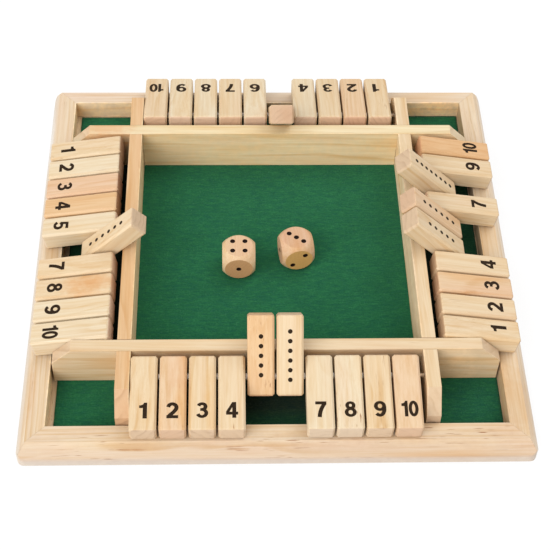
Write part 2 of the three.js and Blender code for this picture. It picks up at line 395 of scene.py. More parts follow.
def end_grain(tree, local, normal, band, given):
    """The colour of the piece's ends, and its share where a face turns toward an end."""
    heading = vector_node(tree, "DOT_PRODUCT", normal, given["Along"], "Value")
    past = math_node(tree, "SUBTRACT", math_node(tree, "ABSOLUTE", heading), given["End from"])
    share = math_node(tree, "DIVIDE", past, END_FADE, clamp=True)
    pore = noise_node(tree, local, (1.2, 3.0, 3.0), 2.0, 0.6)
    growth = math_node(tree, "ADD", 0.62, times(tree, pore, 0.5))
    growth = math_node(tree, "SUBTRACT", growth, times(tree, band, 0.7), clamp=True)
    far = math_node(tree, "GREATER_THAN", heading, 0.0)
    colour = tinted(tree, given["Tone"], mix_colours(tree, far, given["End"], given["Far end"]))
    return tinted(tree, colour, mix_colours(tree, growth, END_DEEP_TINT, END_PALE_TINT)), share


def rubbed_foot(tree, place, foot):
    """The share of the pale foot, painted light low on the outside of a rail."""
    out, _, height = place_on_board(tree, place)
    outside = math_node(tree, "GREATER_THAN", out, OUTSIDE)
    low = ramp_node(tree, math_node(tree, "DIVIDE", height, foot), ((0.55, 1.0), (1.0, 0.0)))
    return times(tree, low, outside)


def wood_group():
    """Sawn and sanded wood, for any piece whose grain runs along one direction."""
    tree = bpy.data.node_groups.new("sawn_wood", "ShaderNodeTree")
    sockets = (
        ("Along", "NodeSocketVector"), ("Across", "NodeSocketVector"), ("Shift", "NodeSocketVector"),
        ("Tone", "NodeSocketColor"), ("End", "NodeSocketColor"), ("Far end", "NodeSocketColor"),
        ("End from", "NodeSocketFloat"), ("Ring spacing", "NodeSocketFloat"), ("Figure", "NodeSocketFloat"),
        ("Clouds", "NodeSocketFloat"), ("Dashes", "NodeSocketFloat"), ("Foot", "NodeSocketFloat"),
        ("Wander", "NodeSocketFloat"),
    )
    results = (("Color", "NodeSocketColor"), ("Roughness", "NodeSocketFloat"), ("Height", "NodeSocketFloat"))
    for way, named in (("INPUT", sockets), ("OUTPUT", results)):
        for name, kind in named:
            tree.interface.new_socket(name=name, in_out=way, socket_type=kind)
    given = add_node(tree, "NodeGroupInput").outputs
    place, normal = place_in_mm(tree)
    local = place_in_trunk(tree, place, given)
    band = growth_rings(tree, local, given)
    fibre = noise_node(tree, local, (0.12, 4.5, 4.5), 3.0, 0.6)
    colour = long_grain(tree, local, band, fibre, given)
    end_colour, end_share = end_grain(tree, local, normal, band, given)
    colour = mix_colours(tree, end_share, colour, end_colour)
    # the pale foot low on a rail's outside is painted light
    lit_foot = rubbed_foot(tree, place, given["Foot"])
    colour = mix_colours(tree, lit_foot, colour, dimmed(FOOT_TONE, REFLECTED))
    roughness = math_node(tree, "ADD", times(tree, fibre, 0.2), SMOOTHEST_WOOD)
    height = math_node(tree, "ADD", fibre, times(tree, band, -0.5))
    add_node(tree, "NodeGroupOutput", {"Color": colour, "Roughness": roughness, "Height": height})
    return tree


WOOD = wood_group()


def wood(name, along, across, tone, draw, cut="rift", spacing=2.6, figure=0.8, clouds=0.5, dashes=0.5,
         foot=NO_FOOT, wander=12.0, end=END_PINE, far_end=None, end_from=0.62):
    """Wood whose grain runs along one direction; draw picks where in the trunk it was cut."""
    material, tree, shader = new_material(name)
    pith_across, pith_below, lean = CUTS[cut]
    shift = (
        draw.uniform(-TRUNK_REACH, TRUNK_REACH),
        draw.choice((-1, 1)) * pith_across * draw.uniform(*PITH_SHARES),
        draw.choice((-1, 1)) * pith_below * draw.uniform(*PITH_SHARES),
    )
    leaning = (along + along.cross(across) * lean * draw.choice((-1, 1))).normalized()
    group = add_node(tree, "ShaderNodeGroup", node_tree=WOOD)
    set_inputs(group, {
        "Along": leaning, "Across": across, "Shift": shift,
        "Tone": (*dimmed(tone, REFLECTED), 1), "End": (*end, 1), "Far end": (*(far_end or end), 1),
        "End from": end_from, "Ring spacing": spacing, "Figure": figure, "Clouds": clouds,
        "Dashes": dashes, "Foot": foot, "Wander": wander,
    })
    tree.links.new(group.outputs["Color"], shader.inputs["Base Color"])
    tree.links.new(group.outputs["Roughness"], shader.inputs["Roughness"])
    shader.inputs["Specular IOR Level"].default_value = 0.3
    add_bump(tree, shader, group.outputs["Height"], WOOD_RELIEF)
    return material


def stain(material, centre, size, tint):
    """Tints a patch of a piece, with a ragged edge; centre and size are in millimetres."""
    tree = material.node_tree
    shader = tree.nodes["Principled BSDF"]
    place, _ = place_in_mm(tree)
    away = vector_node(tree, "DIVIDE", vector_node(tree, "SUBTRACT", place, centre), size)
    ragged = noise_node(tree, place, (0.25, 0.25, 0.25), 3.0, 0.6)
    away = math_node(tree, "ADD", vector_node(tree, "LENGTH", away, (0, 0, 0), "Value"), ragged)
    share = ramp_node(tree, times(tree, away, 0.5), ((0.4, 1.0), (0.75, 0.0)))
    grain = shader.inputs["Base Color"].links[0].from_socket
    tree.links.new(tinted(tree, grain, tint, share), shader.inputs["Base Color"])


def beech(name, along, across, tone, end, draw):
    """Fine beech, creamier where it was turned to a ball; the faces across its length show end grain."""
    material = wood(name, along, across, tone, draw, cut="quarter", spacing=1.5, figure=0.35, clouds=0.9,
                    dashes=0.4, end=end, end_from=0.84)
    tree = material.node_tree
    shader = tree.nodes["Principled BSDF"]
    place, normal = place_in_mm(tree)
    facing = 0.0
    for direction in (along, across, along.cross(across)):
        heading = vector_node(tree, "DOT_PRODUCT", normal, tuple(direction), "Value")
        facing = math_node(tree, "MAXIMUM", math_node(tree, "ABSOLUTE", heading), facing)
    flat = ramp_node(tree, facing, ((0.8, 0.0), (0.9, 1.0)))
    pore = ramp_node(tree, noise_node(tree, place, (1.7, 1.7, 1.7), 2.0), ((0.35, 1.0), (0.5, 0.0)))
    grain = shader.inputs["Base Color"].links[0].from_socket
    grain = tinted(tree, grain, BEECH_PORE_TINT, times(tree, pore, 0.5))
    cream = tinted(tree, grain, BEECH_TURNED_TINT)
    tree.links.new(mix_colours(tree, flat, cream, grain), shader.inputs["Base Color"])
    return material


def felt_material():
    """Pressed wool: soft mottling, a tangle of fine fibres and a few paler ones, and painted shade under the
    tiles.
    """
    material, tree, shader = new_material("green_felt")
    place, _ = place_in_mm(tree)
    cloud = noise_node(tree, place, (0.07, 0.07, 0.07), 3.0, 0.6)
    blotch = noise_node(tree, place, (0.25, 1.0, 0.5), 3.0, 0.7)
    tangle = noise_node(tree, place, (1.0, 1.5, 1.5), 4.0, 0.7)
    first = noise_node(tree, place, (0.5, 6.0, 1.0), 1.0)
    second = noise_node(tree, place, (6.0, 0.5, 1.0), 1.0)
    hair = ramp_node(tree, math_node(tree, "MAXIMUM", first, second), ((0.66, 0.0), (0.78, 1.0)))
    colour = mix_colours(tree, cloud, FELT_TONES["deep"], FELT_TONES["bright"])
    for share, tone in (
        (ramp_node(tree, blotch, ((0.35, 0.8), (0.6, 0.0))), "bluish"),
        (ramp_node(tree, blotch, ((0.55, 0.0), (0.75, 0.5))), "fresh"),
        (ramp_node(tree, tangle, ((0.3, 0.8), (0.6, 0.0))), "shade"),
        (times(tree, hair, 0.35), "hair"),
    ):
        colour = mix_colours(tree, share, colour, FELT_TONES[tone])
    colour = tinted(tree, colour, FELT_REFLECTED)

    # painted shade: darkest beside the dividers, and greener again toward the rails
    out, aside, _ = place_on_board(tree, place)
    under = math_node(tree, "LESS_THAN", aside, SHADED_FELT_ASIDE)
    start = SHADED_FELT_FROM / SHADED_FELT_TO
    share_out = math_node(tree, "DIVIDE", out, SHADED_FELT_TO)
    dark = ramp_node(tree, share_out, ((start - 0.01, 0.0), (start, 1.0), (0.87, 1.0), (0.97, 0.4)))
    colour = tinted(tree, colour, SHADED_FELT_TINT, times(tree, dark, under))
    tree.links.new(colour, shader.inputs["Base Color"])
    set_inputs(shader, {
        "Roughness": 0.95, "Specular IOR Level": 0.05, "Sheen Weight": 0.06, "Sheen Roughness": 0.6,
    })
    add_bump(tree, shader, math_node(tree, "ADD", tangle, times(tree, hair, 0.3)), FELT_RELIEF)
    return material


def steel_material():
    """Bright drawn wire."""
    material, tree, shader = new_material("rod_steel")
    place, _ = place_in_mm(tree)
    drawn = noise_node(tree, place, (0.6, 0.6, 6.0), 2.0)
    colour = mix_colours(tree, drawn, *STEEL_TONES)
    roughness = math_node(tree, "ADD", times(tree, drawn, 0.15), 0.18)
    tree.links.new(colour, shader.inputs["Base Color"])
    tree.links.new(roughness, shader.inputs["Roughness"])
    shader.inputs["Metallic"].default_value = 1.0
    add_bump(tree, shader, drawn, STEEL_RELIEF)
    return material


def sleeve_material():
    """Milky soft plastic."""
    material, tree, shader = new_material("spacer_plastic")
    place, _ = place_in_mm(tree)
    cloud = noise_node(tree, place, (0.8, 0.8, 0.8), 2.0)
    colour = mix_colours(tree, cloud, *SLEEVE_TONES)
    tree.links.new(colour, shader.inputs["Base Color"])
    shader.inputs["Roughness"].default_value = 0.35
    add_bump(tree, shader, cloud, SMOOTH_RELIEF)
    return material


def ink_material(name):
    """Flat printing ink, thinned a little where the grain drinks it."""
    material, tree, shader = new_material(name)
    place, _ = place_in_mm(tree)
    thin = noise_node(tree, place, (2.2, 2.2, 2.2), 4.0, 0.7)
    share = ramp_node(tree, thin, ((0.35, 0.0), (0.75, 1.0)))
    full, thinned = (dimmed(tone, REFLECTED) for tone in INK_TONES[name])
    colour = mix_colours(tree, share, full, thinned)
    tree.links.new(colour, shader.inputs["Base Color"])
    set_inputs(shader, {"Roughness": 0.75, "Specular IOR Level": 0.12})
    add_bump(tree, shader, thin, SMOOTH_RELIEF)
    return material


# Meshes

# Outlines' points closer than this are one point
OUTLINE_REACH = 0.01 * MM


def new_piece(name, mesh, body):
    """An object that rides on a body."""
    made = bpy.data.objects.new(name, mesh)
    bpy.context.scene.collection.objects.link(made)
    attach(made, body)
    return made


def shade_smooth(mesh):
    mesh.polygons.foreach_set("use_smooth", [True] * len(mesh.polygons))


def slab(name, outlines, low, high):
    """One thin closed slab over the union of flat outlines, from one height to another."""
    points, faces = [], []
    for outline in outlines:
        faces.append(list(range(len(points), len(points) + len(outline))))
        points.extend(Vector(point) for point in outline)
    flat, _, triangles, _, _, sources = delaunay_2d_cdt(points, [], faces, 0, OUTLINE_REACH)
    covered = [triangle for triangle, source in zip(triangles, sources) if source]
    bm = bmesh.new()
    lower = [bm.verts.new((x, y, low)) for x, y in flat]
    upper = [bm.verts.new((x, y, high)) for x, y in flat]
    edges = {}
    for triangle in covered:
        bm.faces.new([upper[i] for i in triangle])
        bm.faces.new([lower[i] for i in reversed(triangle)])
        for start, end in zip(triangle, triangle[1:] + triangle[:1]):
            edges[start, end] = edges.get((start, end), 0) + 1
    for start, end in edges:
        if (end, start) not in edges:
            bm.faces.new([lower[start], lower[end], upper[end], upper[start]])
    bmesh.ops.delete(bm, geom=[v for v in bm.verts if not v.link_faces], context="VERTS")
    mesh = bpy.data.meshes.new(name)
    bm.to_mesh(mesh)
    bm.free()
    return mesh


def lathe(name, profile, steps, centre, axis):
    """Turns a (radius, place along the axis) profile: a ring, or a rod if it starts and ends at zero."""
    side = axis.orthogonal().normalized()
    other = axis.cross(side)
    bm = bmesh.new()
    rows = []
    for radius, along in profile:
        middle = centre + axis * along
        if radius == 0:
            rows.append([bm.verts.new(middle)] * steps)
            continue
        turns = [2 * math.pi * i / steps for i in range(steps)]
        spokes = [side * math.cos(turn) + other * math.sin(turn) for turn in turns]
        rows.append([bm.verts.new(middle + spoke * radius) for spoke in spokes])
    pairs = list(zip(rows, rows[1:]))
    if profile[0][0] != 0:
        pairs.append((rows[-1], rows[0]))
    for first, second in pairs:
        for i in range(steps):
            j = (i + 1) % steps
            corners = [first[i], first[j], second[j], second[i]]
            bm.faces.new(list(dict.fromkeys(corners)))
    bmesh.ops.recalc_face_normals(bm, faces=bm.faces)
    mesh = bpy.data.meshes.new(name)
    bm.to_mesh(mesh)
    bm.free()
    shade_smooth(mesh)
    return mesh


def break_edges(piece, width, sharp, segments=2):
    """Rounds a piece's sharp edges and shades the rest smoothly."""
    edge = piece.modifiers.new("edge", "BEVEL")
    edge.width = width
    edge.segments = segments
    edge.limit_method = "ANGLE"
    edge.angle_limit = sharp
    weighted = piece.modifiers.new("weighted", "WEIGHTED_NORMAL")
    weighted.keep_sharp = True
    shade_smooth(piece.data)
    return weighted


def widest_normals(node):
    """The directions of a node's flat faces, the widest faces first."""
    areas = {}
    for polygon in nodes[node].data.polygons:
        key = tuple(round(value, 2) for value in polygon.normal)
        area, total = areas.get(key, (0.0, Vector()))
        areas[key] = (area + polygon.area, total + polygon.normal * polygon.area)
    ranked = sorted(areas.values(), key=lambda entry: -entry[0])
    return [total.normalized() for _, total in ranked]


def reach(node, start, direction):
    """How far a node reaches from a point in a direction."""
    return max((vertex.co - start).dot(direction) for vertex in nodes[node].data.vertices)


# Tiles

JOINTS = {joint["child"]: joint for joint in frame["joints"]}


def tile_frame(node):
    """A tile's pivot, and its directions: right and up as its number reads, and out of its number face."""
    joint = JOINTS[node]
    axis = Vector(joint["axis"])
    pivot = Vector(joint["pos_m"])
    shut = joint["range_deg"][1] == 0
    normal = next(n for n in widest_normals(node) if abs(n.dot(axis)) < SQUARE and (n.z < 0) == shut)
    return pivot, -axis, axis.cross(normal), normal


def placed(origin, right, up, normal):
    """The matrix that sets a piece made round zero at a place, along three directions."""
    matrix = Matrix((right, up, normal)).transposed().to_4x4()
    matrix.translation = origin
    return matrix


# Digits are drawn with strokes and plates, in shares of their height.
# Upright strokes are wider than level ones.
STEM = 0.24
BAR = 0.185
DIGIT_WIDTH = 0.72
# A stroke closes on itself when its ends are closer than this
CLOSED_REACH = 1e-6
# The sharper a corner, the farther out its point lies; this share keeps it near
CORNER_LEAST = 0.4


def arc(x, y, across, up, start, end, steps=14):
    """Points on part of an ellipse, between two angles in degrees."""
    turns = [math.radians(start + (end - start) * i / steps) for i in range(steps + 1)]
    return [(x + across * math.cos(turn), y + up * math.sin(turn)) for turn in turns]


def ribbon(points, stem=STEM, bar=BAR):
    """A stroke along points, as one quad for each step; a stroke may close on itself."""
    closed = math.dist(points[0], points[-1]) < CLOSED_REACH
    line = [Vector(point) for point in (points[:-1] if closed else points)]
    count = len(line)
    left, right = [], []
    for i, here in enumerate(line):
        before = line[i - 1] if closed or i else here
        after = line[(i + 1) % count] if closed or i < count - 1 else here
        first = (here - before).normalized() if before != here else (after - here).normalized()
        second = (after - here).normalized() if after != here else first
        middle = (first + second).normalized()
        half = math.hypot(stem * middle.y, bar * middle.x) / 2 / max(middle.dot(first), CORNER_LEAST)
        across = Vector((-middle.y, middle.x)) * half
        left.append(here + across)
        right.append(here - across)
    steps = range(count if closed else count - 1)
    return [[right[i], right[(i + 1) % count], left[(i + 1) % count], left[i]] for i in steps]


def half_turned(outlines):
    return [[Vector((DIGIT_WIDTH - x, 1 - y)) for x, y in outline] for outline in outlines]


def six():
    bowl = ribbon(arc(0.36, 0.32, 0.24, 0.23, 0, 360, 24), 0.225, 0.175)
    back = ribbon(arc(0.385, 0.51, 0.27, 0.40, 45, 180) + [(0.115, 0.33)])
    return bowl + back


DIGITS = {
    "0": ribbon(arc(0.36, 0.5, 0.24, 0.41, 0, 360, 28)),
    "1": [[(0.37, 0.0), (0.62, 0.0), (0.62, 1.0), (0.44, 1.0), (0.41, 0.93), (0.35, 0.87), (0.26, 0.84),
           (0.16, 0.83), (0.16, 0.66), (0.37, 0.66)]],
    "2": ribbon(arc(0.355, 0.675, 0.24, 0.235, 172, -30)
                + [(0.42, 0.38), (0.24, 0.22), (0.15, 0.12)], bar=0.2)
         + ribbon([(0.02, 0.095), (0.70, 0.095)], bar=0.19),
    "3": ribbon(arc(0.35, 0.725, 0.205, 0.185, 165, -90) + [(0.25, 0.54)], 0.225, 0.175)
         + ribbon([(0.25, 0.54)] + arc(0.35, 0.315, 0.25, 0.225, 90, -165), 0.225, 0.175),
    "4": [[(0.02, 0.20), (0.72, 0.20), (0.72, 0.385), (0.02, 0.385)],
          [(0.38, 0.0), (0.61, 0.0), (0.61, 1.0), (0.38, 1.0)],
          [(0.02, 0.29), (0.21, 0.29), (0.21, 0.37), (0.48, 0.84), (0.48, 1.0), (0.38, 1.0), (0.02, 0.40)]],
    "5": ribbon([(0.14, 0.905), (0.66, 0.905)], bar=0.19)
         + ribbon([(0.22, 0.96), (0.16, 0.46)], 0.19)
         + ribbon(arc(0.35, 0.33, 0.24, 0.235, 150, -162), 0.23, 0.18),
    "6": six(),
    "7": ribbon([(0.04, 0.905), (0.69, 0.905)], bar=0.19)
         + ribbon([(0.60, 0.88), (0.49, 0.72), (0.40, 0.55), (0.33, 0.36), (0.29, 0.18), (0.27, 0.0)]),
    "8": ribbon(arc(0.36, 0.735, 0.19, 0.175, 0, 360, 24), 0.215, 0.165)
         + ribbon(arc(0.36, 0.30, 0.24, 0.215, 0, 360, 24), 0.22, 0.17),
    "9": half_turned(six()),
}
# The two digits of ten are narrower, and their steps from the number's left are in shares of the height
TEN_NARROWING = 0.8
TEN_STEP = 0.47
TEN_CLOSER = 0.07


def digit_outlines(number):
    """A number's outlines, centred on zero, in metres."""
    if number < 10:
        parts = [(DIGITS[str(number)], 0.0, 1.0)]
        width = DIGIT_WIDTH
    else:
        parts = [(DIGITS["1"], -TEN_CLOSER, TEN_NARROWING), (DIGITS["0"], TEN_STEP, TEN_NARROWING)]
        width = TEN_STEP + DIGIT_WIDTH * TEN_NARROWING
    return [
        [((shift + x * narrow - width / 2) * DIGIT_HEIGHT, (y - 0.5) * DIGIT_HEIGHT) for x, y in outline]
        for outlines, shift, narrow in parts for outline in outlines
    ]


def dot_outlines(number):
    """A row of as many dots as the tile's number, along the tile."""
    step = min(DOT_SPACING, DOT_ROW_MOST / max(number - 1, 1))
    rows = [(i - (number - 1) / 2) * step for i in range(number)]
    last = 360 - 360 / DOT_STEPS
    return [arc(0, row, DOT_RADIUS, DOT_RADIUS, 0, last, DOT_STEPS - 1) for row in rows]


def dress_tile(side, number, ink):
    """Prints a tile's number near its outer end, and a row of dots on its back."""
    node = f"{side}_tile_{number}"
    pivot, right, up, normal = tile_frame(node)
    face = reach(node, pivot, normal)
    end = reach(node, pivot, -up)
    back_end = reach(node, pivot, up)
    centre = pivot - up * (end - DIGIT_FROM_END[side]) + normal * face
    mesh = slab(f"{side}_number_{number}", digit_outlines(number), -INK_SUNK, INK_PROUD)
    mesh.transform(placed(centre, right, up, normal))
    mesh.materials.append(ink)
    new_piece(f"{side}_number_{number}", mesh, node)

    middle = pivot - up * (end - back_end) / 2 - normal * face
    mesh = slab(f"{side}_dots_{number}", dot_outlines(number), -INK_SUNK, INK_PROUD)
    mesh.transform(placed(middle, -right, up, -normal))
    mesh.materials.append(ink)
    new_piece(f"{side}_dots_{number}", mesh, node)


# Rods and sleeves

def dress_rod(side, steel):
    """A smooth rod with rounded ends."""
    low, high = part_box(f"{side}_rod")
    centre = (low + high) / 2
    axis = Vector(JOINTS[f"{side}_tile_1"]["axis"])
    half = (high - low).dot(Vector(map(abs, axis))) / 2
    shoulder = half - ROD_END_EASE
    neck = ROD_RADIUS - ROD_END_EASE
    profile = [
        (0, -half), (neck, -half), (ROD_RADIUS, -shoulder),
        (ROD_RADIUS, shoulder), (neck, half), (0, half),
    ]
    mesh = lathe(f"{side}_rod_wire", profile, ROD_STEPS, centre, axis)
    mesh.materials.append(steel)
    wire = new_piece(f"{side}_rod_wire", mesh, "board")
    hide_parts(f"{side}_rod")


def add_sleeves(side, plastic):
    """A sleeve round the rod in each gap between two tiles."""
    axis = Vector(JOINTS[f"{side}_tile_1"]["axis"])
    outer, inner, end = SLEEVE_RADIUS, SLEEVE_RADIUS - SLEEVE_WALL, SLEEVE_LENGTH / 2
    ease = SLEEVE_EASE
    section = [
        (inner, -end), (outer - ease, -end), (outer, ease - end),
        (outer, end - ease), (outer - ease, end), (inner, end),
    ]
    bm = bmesh.new()
    for number in range(1, TILES_PER_SIDE):
        pair = [Vector(JOINTS[f"{side}_tile_{n}"]["pos_m"]) for n in (number, number + 1)]
        ring = lathe("ring", section, SLEEVE_STEPS, (pair[0] + pair[1]) / 2, axis)
        bm.from_mesh(ring)
        bpy.data.meshes.remove(ring)
    mesh = bpy.data.meshes.new(f"{side}_sleeves")
    bm.to_mesh(mesh)
    bm.free()
    shade_smooth(mesh)
    mesh.materials.append(plastic)
    new_piece(f"{side}_sleeves", mesh, "board")


# Dice

# Where the pips of each number stand, in steps of their spacing
PIP_STEPS = {
    1: ((0, 0),),
    2: ((1, 1), (-1, -1)),
    3: ((-1, 1), (0, 0), (1, -1)),
    4: ((-1, 1), (1, 1), (-1, -1), (1, -1)),
    5: ((-1, 1), (1, 1), (0, 0), (-1, -1), (1, -1)),
    6: ((-1, 1), (1, 1), (-1, 0), (1, 0), (-1, -1), (1, -1)),
}


def boolean(piece, tool, operation):
    """Cuts a piece with a tool, which is used up; the cut faces take the tool's material."""
    modifier = piece.modifiers.new("cut", "BOOLEAN")
    modifier.operation = operation
    modifier.object = tool
    modifier.solver = "EXACT"
    modifier.material_mode = "TRANSFER"
    cut = piece.evaluated_get(bpy.context.evaluated_depsgraph_get())
    mesh = bpy.data.meshes.new_from_object(cut)
    piece.modifiers.clear()
    piece.data = mesh
    bpy.data.objects.remove(tool)


def loose_object(name, bm, material):
    mesh = bpy.data.meshes.new(name)
    bm.to_mesh(mesh)
    bm.free()
    mesh.materials.append(material)
    made = bpy.data.objects.new(name, mesh)
    bpy.context.scene.collection.objects.link(made)
    return made


def die_faces(node):
    """Each face of a die in its own frame: its number, its normal and the direction across it."""
    numbers = DICE_FACES[node]
    return (
        (numbers["top"], UP, RIGHTWARD),
        (OPPOSITE_SUM - numbers["top"], -UP, RIGHTWARD),
        (numbers["front"], -BACKWARD, RIGHTWARD),
        (OPPOSITE_SUM - numbers["front"], BACKWARD, -RIGHTWARD),
        (numbers["right"], RIGHTWARD, BACKWARD),
        (OPPOSITE_SUM - numbers["right"], -RIGHTWARD, -BACKWARD),
    )


def add_ball(bm, steps, radius, matrix):
    round_steps, up_steps = steps
    bmesh.ops.create_uvsphere(bm, u_segments=round_steps, v_segments=up_steps, radius=radius, matrix=matrix)


def turned_cube(name, half, ball, timber):
    """A cube turned down to a ball, made round zero."""
    bm = bmesh.new()
    add_ball(bm, BALL_STEPS, ball, Matrix.Identity(4))
    body = loose_object(name, bm, timber)
    bm = bmesh.new()
    bmesh.ops.create_cube(bm, size=2 * half)
    boolean(body, loose_object("cube", bm, timber), "INTERSECT")
    return body


def drill_pips(body, node, half, paint):
    """Cuts a die's pips as shallow painted dimples."""
    flattened = Matrix.Diagonal((1, 1, PIP_DEPTH / PIP_RADIUS, 1))
    bm = bmesh.new()
    for number, normal, across in die_faces(node):
        along = normal.cross(across)
        for step_across, step_along in PIP_STEPS[number]:
            place = normal * half + (across * step_across + along * step_along) * PIP_SPACING
            add_ball(bm, PIP_BALL_STEPS, PIP_RADIUS, placed(place, across, along, normal) @ flattened)
    boolean(body, loose_object("pips", bm, paint), "DIFFERENCE")


def dress_die(node, draw, paint):
    low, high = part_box(node)
    centre = (low + high) / 2
    level = [n for n in widest_normals(node)[:DIE_SIDES] if abs(n.z) < SQUARE]
    front = min(level, key=lambda n: n.y)
    right = UP.cross(front)
    tone, end = DICE_LOOKS[node]
    timber = beech(f"{node}_beech", front, right, tone, end, draw)
    half = reach(node, centre, UP)
    ball = max((vertex.co - centre).length for vertex in nodes[node].data.vertices)
    body = turned_cube(f"{node}_body", half, ball, timber)
    drill_pips(body, node, half, paint)
    body.data.name = f"{node}_body"
    body.data.transform(placed(centre, right, -front, UP))
    break_edges(body, DIE_EDGE, DIE_SHARP)
    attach(body, node)
    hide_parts(node)


# Felt

def felt_mesh(low, high):
    """A closed mat whose top and edge are uneven."""
    middle, half = (low + high) / 2, (high - low) / 2
    columns, rows = (round(2 * span / FELT_CELL) for span in (half.x, half.y))
    bm = bmesh.new()
    spread = Matrix.Translation((middle.x, middle.y, 0)) @ Matrix.Diagonal((half.x, half.y, 1, 1))
    bmesh.ops.create_grid(bm, x_segments=columns, y_segments=rows, size=1, matrix=spread)
    for v in bm.verts:
        right_share = (v.co.x - low.x) / (high.x - low.x)
        back_share = max(v.co.y - middle.y, 0) / half.y
        v.co.y += back_share * (FELT_BACK_LEFT + (FELT_BACK_RIGHT - FELT_BACK_LEFT) * right_share)
    rim = [v for v in bm.verts if v.is_boundary]
    for v in rim:
        pull = noise.noise(v.co * FELT_RIM_GRAINS) * FELT_UNEVEN * 2
        v.co -= Vector((v.co.x - middle.x, v.co.y - middle.y, 0)).normalized() * abs(pull)
    top = list(bm.verts)
    made = bmesh.ops.extrude_face_region(bm, geom=list(bm.faces))
    lower = [item for item in made["geom"] if isinstance(item, bmesh.types.BMVert)]
    for v in lower:
        v.co.z = low.z
    for v in top:
        fine = noise.noise(v.co * FELT_FINE_GRAINS)
        coarse = noise.noise(v.co * FELT_COARSE_GRAINS)
        uneven = fine * FELT_FINE_SHARE + coarse * (1 - FELT_FINE_SHARE)
        v.co.z = high.z - FELT_UNEVEN * (1 - uneven)
    bmesh.ops.recalc_face_normals(bm, faces=bm.faces)
    mesh = bpy.data.meshes.new("felt_sheet")
    bm.to_mesh(mesh)
    bm.free()
    shade_smooth(mesh)
    return mesh


def lay_felt(material):
    low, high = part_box("felt_mat")
    mesh = felt_mesh(low, high)
    mesh.materials.append(material)
    piece = new_piece("felt_sheet", mesh, "board")
    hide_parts("felt_mat")


# Wooden CAD nodes

def ease_edges(piece, width, segments=2):
    """Merges the solid's facets and breaks its sharp edges."""
    weld = piece.modifiers.new("weld", "WELD")
    weld.merge_threshold = WELD_REACH
    flat = piece.modifiers.new("flat", "DECIMATE")
    flat.decimate_type = "DISSOLVE"
    flat.angle_limit = FACET_SAME
    break_edges(piece, width, WOOD_SHARP, segments).weight = WIDE_FACE_WEIGHT


def stained(node, material):
    """The node's material, with the node's patches added."""
    for patch in STAINS_AND_PAINTED_LIGHT.get(node, ()):
        stain(material, *patch)
    return material


def paint_node(node, material):
    stained(node, material)
    piece = nodes[node]
    piece.data.materials.clear()
    piece.data.materials.append(material)


# The tone of each tile, counted from the tile marked one
TILE_TONES = {
    "front": "straw blush straw straw honey straw cream cream straw blush",
    "right": "straw straw blush straw straw blush straw straw straw amber",
    "back": "straw blush straw cream blush cream straw cream cream straw",
    "left": "straw cream rose honey cream straw straw straw cream cream",
}
DIVIDER_TONES = {"front": "straw", "right": "straw", "back": "lemon", "left": "honey"}
# Each rail's tone, how many dashes it has, and how high its pale foot of painted light reaches
RAIL_LOOKS = {
    "front": ("bleached", 1.0, 6), "right": ("bleached", 0.3, 9), "back": ("chalk", 0.5, 9),
    "left": ("bleached", 0.4, 11),
}
# Patches of another tint: their centre and size in millimetres, and their tint. Some are painted light and
# painted shade, as noted at each. A size of ALL takes in a board's whole length.
ALL = 400
STAINS_AND_PAINTED_LIGHT = {
    "left_tile_8": [((-84, -32.6, 22), (16, 9, 12), (0.94, 0.70, 0.50))],
    "right_tile_3": [((85, -37.6, 22), (10, 1.6, 5), (0.86, 0.66, 0.46))],
    "front_tile_2": [((-41, -80, 24), (5, 14, 8), (0.97, 0.88, 0.84))],
    "front_tile_3": [((-30.2, -92, 22), (1.8, 18, 8), (0.97, 0.86, 0.68))],
    # painted shade on the raised end of back tile 5
    "back_tile_5": [((8.5, 61.8, 40.8), (6, 6, 6), (0.92, 0.86, 0.82))],
    "front_rail": [
        # painted light: a paler, cooler patch on the bevel at the left
        ((-82, -109.3, 10.6), (24, 4, 3), (1.06, 1.1, 1.1)),
        ((75, -108, 10), (75, 40, 20), (0.98, 0.95, 0.92)),
        ((0, -112, 7), (ALL, 12, 9), (0.90, 0.87, 0.89)),
        ((-64, -110.3, 9.0), (9, 0.6, 0.7), (0.80, 0.66, 0.52)),
        ((-17.5, -110.3, 9.0), (6, 0.6, 0.7), (0.80, 0.66, 0.52)),
    ],
    "right_rail": [
        ((105, -90, 12), (14, 30, 16), (0.90, 0.81, 0.70)),
        # painted light: lighter low on the outer face
        ((112, 0, 8), (8, ALL, 9), (1.07, 1.08, 1.1)),
    ],
    "back_rail": [
        # painted light: the inner face lighter, and more so at the right
        ((0, 99.3, 8), (ALL, 1.6, 40), (1.55, 1.45, 1.1)),
        ((86, 99.3, 8), (20, 2, 40), (1.25, 1.15, 1.1)),
    ],
    "left_rail": [
        # painted light: paler and cooler low on the outer face at the back
        ((-111.5, 78, 7), (4, 25, 3), (1.1, 1.2, 1.35)),
        ((-109.3, -78, 10.6), (4, 30, 3), (0.93, 0.86, 0.75)),
        # painted light: the inner face lighter
        ((-99.3, 0, 8), (1.6, ALL, 40), (1.5, 1.5, 1.35)),
    ],
    # painted light: the outer face by the front right pocket, lighter
    "front_divider": [((80, -71, 13), (12, 1.6, 30), (1.3, 1.25, 1.2))],
    # painted light: the inner face lighter
    "right_divider": [((63, 0, 13), (1.6, ALL, 60), (1.45, 1.48, 1.55))],
    "back_divider": [
        ((-83, 67, 22), (17, 12, 16), (0.96, 0.78, 0.70)),
        # painted light: the inner face lighter
        ((0, 63, 13), (ALL, 1.6, 60), (1.19, 1.06, 0.95)),
    ],
    # painted light: the inner face lighter and cooler
    "left_divider": [((-63, 0, 13), (1.6, ALL, 60), (1.2, 1.5, 1.7))],
    # painted shade on the felt of the front right pocket
    "felt_mat": [((86, -86, 3.4), (26, 26, 20), (0.85, 0.80, 0.88))],
}
